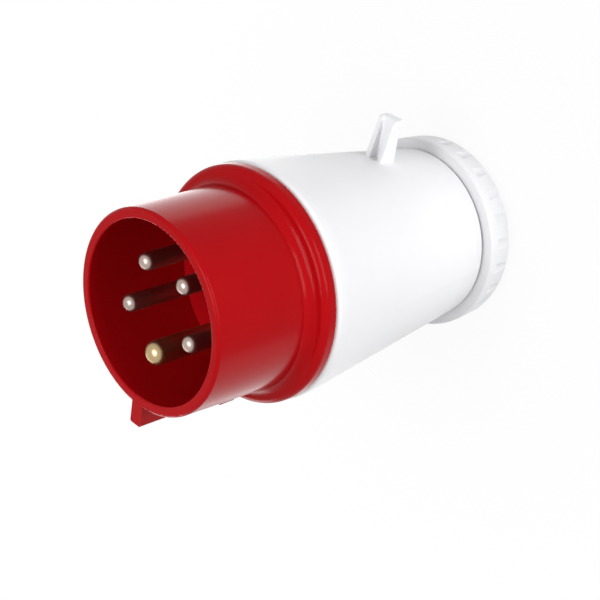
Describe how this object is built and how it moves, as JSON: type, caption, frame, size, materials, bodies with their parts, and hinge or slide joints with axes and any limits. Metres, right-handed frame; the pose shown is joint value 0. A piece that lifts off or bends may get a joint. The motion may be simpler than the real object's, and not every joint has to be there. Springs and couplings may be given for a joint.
{
  "type": "industrial pin and sleeve plug",
  "caption": "Round red-sleeved industrial power plug with exposed contact pins, a tapered pale housing and a cable gland nut at its tail.",
  "frame": {"origin": "centre of the cable hole at the gland nut's rear face, which is the face that the plug stands on", "axes": "+Z along the plug's axis towards the sleeve's rim and the pins' tips; -Y towards the key and the earth pin; +Y towards the catch on the rear housing"},
  "size_m": [0.0686, 0.0772, 0.118],
  "materials": {
    "red_plastic": "gloss",
    "red_insert": "semi-gloss",
    "pale_plastic": "satin",
    "nickel_pin": "bright nickel plate",
    "brass_pin": "turned",
    "zinc_screw": "zinc plate",
    "black_plastic": "matte",
    "black_rubber": "matte",
    "steel_ring": "brushed"
  },
  "bodies": {
    "plug": {"front_sleeve": "red_plastic", "contact_carrier": "red_insert", "pin_l1": "nickel_pin", "pin_l2": "nickel_pin", "pin_l3": "nickel_pin", "pin_neutral": "nickel_pin", "pin_earth": "brass_pin", "terminal_screw_l1": "zinc_screw", "terminal_screw_l2": "zinc_screw", "terminal_screw_l3": "zinc_screw", "terminal_screw_neutral": "zinc_screw", "terminal_screw_earth": "zinc_screw", "pin_retainer": "black_plastic", "retainer_screw": "zinc_screw", "housing_seal": "black_rubber", "rear_housing": "pale_plastic", "cable_grommet": "black_rubber", "clamp_collet": "pale_plastic"},
    "ring": {"thrust_ring": "steel_ring"},
    "nut": {"gland_nut": "pale_plastic"}
  },
  "joints": [
    {"name": "nut_travel", "type": "slide", "parent": "plug", "child": "ring", "axis": [0, 0, -1], "range_m": [0, 0.0045]},
    {"name": "nut_turn", "type": "hinge", "parent": "ring", "child": "nut", "pos_m": [0, 0, 0], "axis": [0, 0, -1], "range_deg": [0, 540]}
  ],
  "couplings": [
    {"joint": "nut_travel", "follows": "nut_turn", "m_per_rad": 0.00047746}
  ]
}
